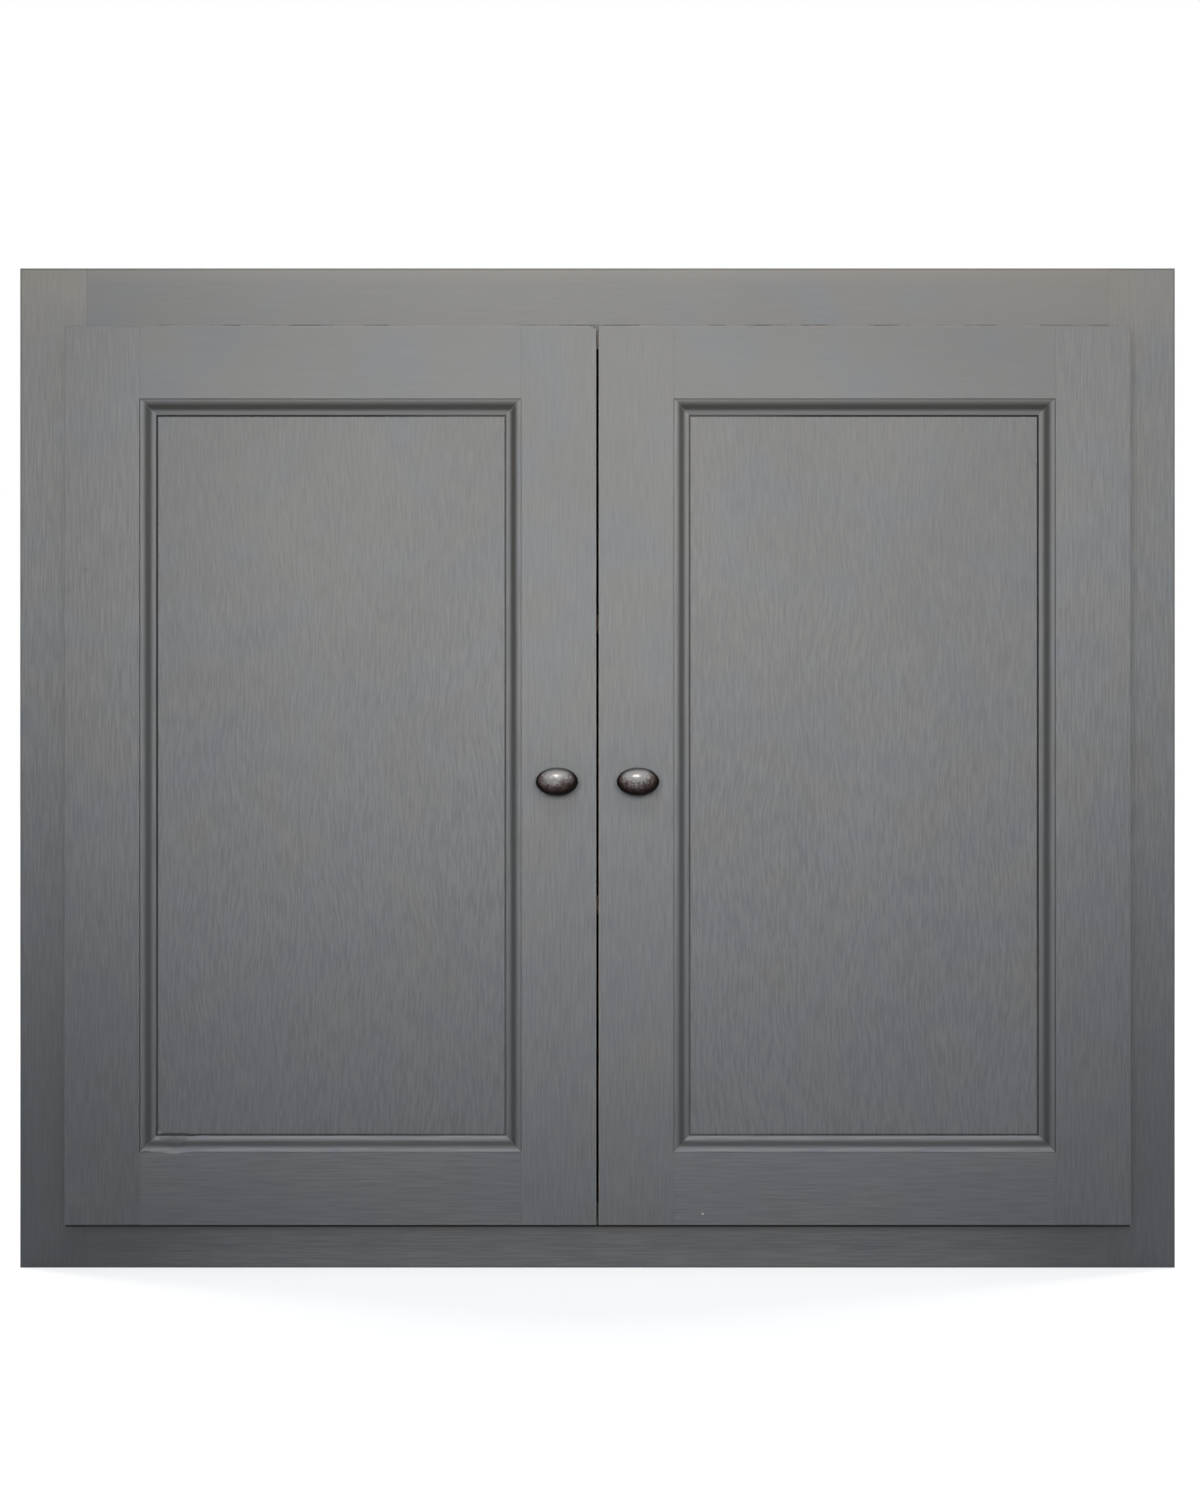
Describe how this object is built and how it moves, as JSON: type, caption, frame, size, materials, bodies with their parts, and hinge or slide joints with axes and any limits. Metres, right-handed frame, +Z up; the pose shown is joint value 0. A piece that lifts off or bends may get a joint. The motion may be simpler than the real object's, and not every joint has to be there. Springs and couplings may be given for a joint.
{
  "type": "two-door cupboard",
  "caption": "Painted face-frame cupboard with panelled overlay doors on concealed hinges, oval knobs, magnetic catches and adjustable shelves.",
  "frame": {"origin": "on the floor, under the middle of the cupboard's box, knobs included", "axes": "+X to the viewer's right facing the doors, -Y out of the front, +Z up"},
  "size_m": [1.04, 0.451, 0.9],
  "materials": {
    "grey_paint": "brushed satin grey paint over closed-grain wood",
    "pine_board": "clear satin lacquer on pine",
    "back_board": "thin veneered board, unfinished outside",
    "beech_dowel": "bare fluted hardwood",
    "aged_pewter": "aged pewter finish with dark brown patina",
    "hinge_steel": "bright nickel plate",
    "pin_steel": "plain steel",
    "peg_steel": "nickel plate",
    "screw_steel": "zinc plate",
    "catch_plastic": "moulded nylon",
    "magnet": "sintered ferrite",
    "bumper_rubber": "soft pad"
  },
  "bodies": {
    "cabinet": {"back_panel": "back_board", "back_panel_screws": "screw_steel", "bottom_panel": "pine_board", "catch_housings": "catch_plastic", "catch_magnets": "magnet", "catch_screws": "screw_steel", "face_frame_bottom_rail": "grey_paint", "face_frame_left_stile": "grey_paint", "face_frame_right_stile": "grey_paint", "face_frame_top_rail": "grey_paint", "frame_dowels": "beech_dowel", "hanging_rail": "pine_board", "hinge_arm_pins": "pin_steel", "hinge_arm_screws": "screw_steel", "left_hinge_arms": "hinge_steel", "left_side_panel": "grey_paint", "lower_shelf": "pine_board", "rear_plinth_rail": "pine_board", "right_hinge_arms": "hinge_steel", "right_side_panel": "grey_paint", "shelf_pegs": "peg_steel", "top_panel": "grey_paint", "upper_shelf": "pine_board"},
    "left_links": {"left_hinge_links": "hinge_steel"},
    "right_links": {"right_hinge_links": "hinge_steel"},
    "left_door": {"left_door_bottom_rail": "grey_paint", "left_door_bumpers": "bumper_rubber", "left_door_hinge_stile": "grey_paint", "left_door_meeting_stile": "grey_paint", "left_door_moulding_bottom": "grey_paint", "left_door_moulding_inner": "grey_paint", "left_door_moulding_outer": "grey_paint", "left_door_moulding_top": "grey_paint", "left_door_panel": "grey_paint", "left_door_top_rail": "grey_paint", "left_hinge_cup_pins": "pin_steel", "left_hinge_cup_screws": "screw_steel", "left_hinge_cups": "hinge_steel", "left_knob": "aged_pewter", "left_knob_screw": "screw_steel", "left_strike_plate": "hinge_steel", "left_strike_screw": "screw_steel"},
    "right_door": {"right_door_bottom_rail": "grey_paint", "right_door_bumpers": "bumper_rubber", "right_door_hinge_stile": "grey_paint", "right_door_meeting_stile": "grey_paint", "right_door_moulding_bottom": "grey_paint", "right_door_moulding_inner": "grey_paint", "right_door_moulding_outer": "grey_paint", "right_door_moulding_top": "grey_paint", "right_door_panel": "grey_paint", "right_door_top_rail": "grey_paint", "right_hinge_cup_pins": "pin_steel", "right_hinge_cup_screws": "screw_steel", "right_hinge_cups": "hinge_steel", "right_knob": "aged_pewter", "right_knob_screw": "screw_steel", "right_strike_plate": "hinge_steel", "right_strike_screw": "screw_steel"}
  },
  "joints": [
    {"name": "left_door_swing", "type": "hinge", "parent": "left_links", "child": "left_door", "pos_m": [-0.466, -0.1793, 0.4435], "axis": [0, 0, -1], "range_deg": [0, 157.5]},
    {"name": "left_link_swing", "type": "hinge", "parent": "cabinet", "child": "left_links", "pos_m": [-0.445, -0.1705, 0.4435], "axis": [0, 0, -1], "range_deg": [-52.5, 0]},
    {"name": "right_door_swing", "type": "hinge", "parent": "right_links", "child": "right_door", "pos_m": [0.466, -0.1793, 0.4435], "axis": [0, 0, 1], "range_deg": [0, 157.5]},
    {"name": "right_link_swing", "type": "hinge", "parent": "cabinet", "child": "right_links", "pos_m": [0.445, -0.1705, 0.4435], "axis": [0, 0, 1], "range_deg": [-52.5, 0]}
  ],
  "couplings": [
    {"joint": "left_link_swing", "follows": "left_door_swing", "ratio": -0.33333},
    {"joint": "right_link_swing", "follows": "right_door_swing", "ratio": -0.33333}
  ]
}
